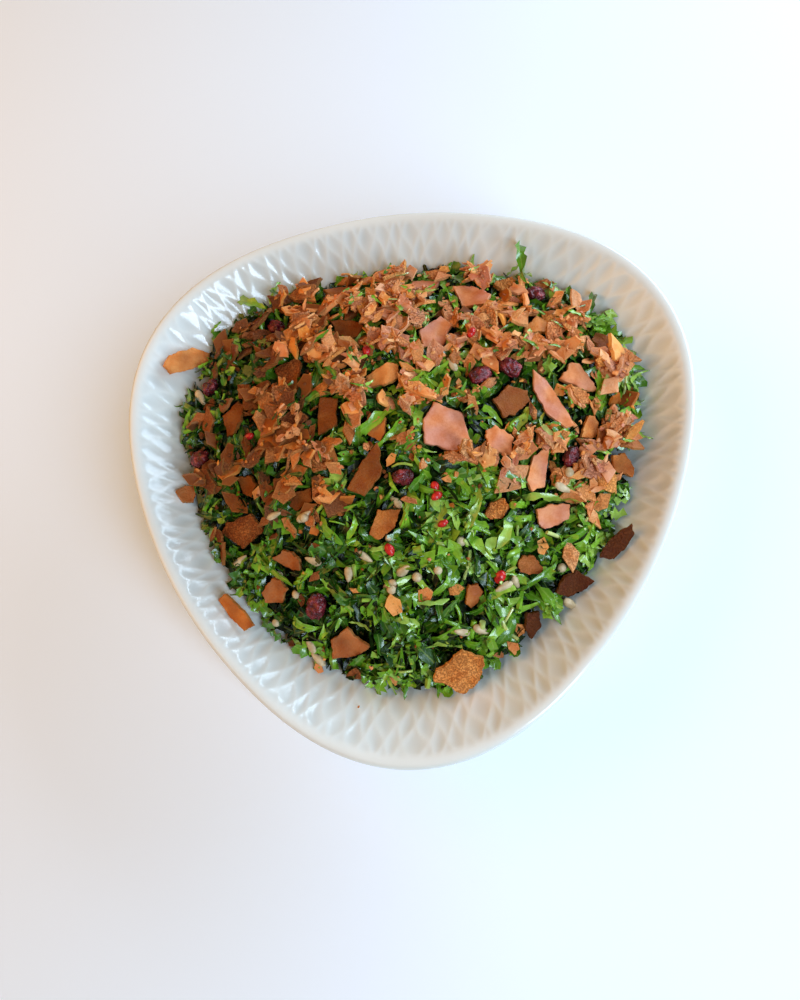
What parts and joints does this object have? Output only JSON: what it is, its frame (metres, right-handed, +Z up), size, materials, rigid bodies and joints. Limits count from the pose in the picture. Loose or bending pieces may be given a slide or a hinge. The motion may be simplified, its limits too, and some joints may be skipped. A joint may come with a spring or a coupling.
{
  "type": "dish of herb salad",
  "caption": "Rounded-triangular white porcelain serving dish on a foot ring, heaped with chopped herb salad, toasted flatbread chips, seeds and dried berries.",
  "frame": {"origin": "on the table, under the middle of the dish's box", "axes": "+Z up; one rounded corner of the dish points to -Y, and the side opposite it faces +Y"},
  "size_m": [0.2844, 0.2822, 0.0877],
  "materials": {
    "porcelain": "smooth white glaze",
    "herbs": "moist chopped leaves",
    "toasted_bread": "dry toasted crumb",
    "dried_berry": "wrinkled glossy skin"
  },
  "bodies": {
    "root": {"dish": "porcelain", "salad_heap": "herbs", "pita_chip_01": "toasted_bread", "pita_chip_02": "toasted_bread", "pita_chip_03": "toasted_bread", "pita_chip_04": "toasted_bread", "pita_chip_05": "toasted_bread", "pita_chip_06": "toasted_bread", "pita_chip_07": "toasted_bread", "pita_chip_08": "toasted_bread", "pita_chip_09": "toasted_bread", "pita_chip_10": "toasted_bread", "pita_chip_11": "toasted_bread", "pita_chip_12": "toasted_bread", "pita_chip_13": "toasted_bread", "pita_chip_14": "toasted_bread", "pita_chip_15": "toasted_bread", "pita_chip_16": "toasted_bread", "pita_chip_17": "toasted_bread", "pita_chip_18": "toasted_bread", "pita_chip_19": "toasted_bread", "pita_chip_20": "toasted_bread", "pita_chip_21": "toasted_bread", "pita_chip_22": "toasted_bread", "pita_chip_23": "toasted_bread", "pita_chip_24": "toasted_bread", "pita_chip_25": "toasted_bread", "pita_chip_26": "toasted_bread", "pita_chip_27": "toasted_bread", "pita_chip_28": "toasted_bread", "pita_chip_29": "toasted_bread", "pita_chip_30": "toasted_bread", "pita_chip_31": "toasted_bread", "pita_chip_32": "toasted_bread", "pita_chip_33": "toasted_bread", "pita_chip_34": "toasted_bread", "pita_chip_35": "toasted_bread", "pita_chip_36": "toasted_bread", "pita_chip_37": "toasted_bread", "pita_chip_38": "toasted_bread", "pita_chip_39": "toasted_bread", "pita_chip_40": "toasted_bread", "dried_berry_01": "dried_berry", "dried_berry_02": "dried_berry", "dried_berry_03": "dried_berry", "dried_berry_04": "dried_berry", "dried_berry_05": "dried_berry", "dried_berry_06": "dried_berry", "dried_berry_07": "dried_berry", "dried_berry_08": "dried_berry", "dried_berry_09": "dried_berry"}
  },
  "joints": []
}
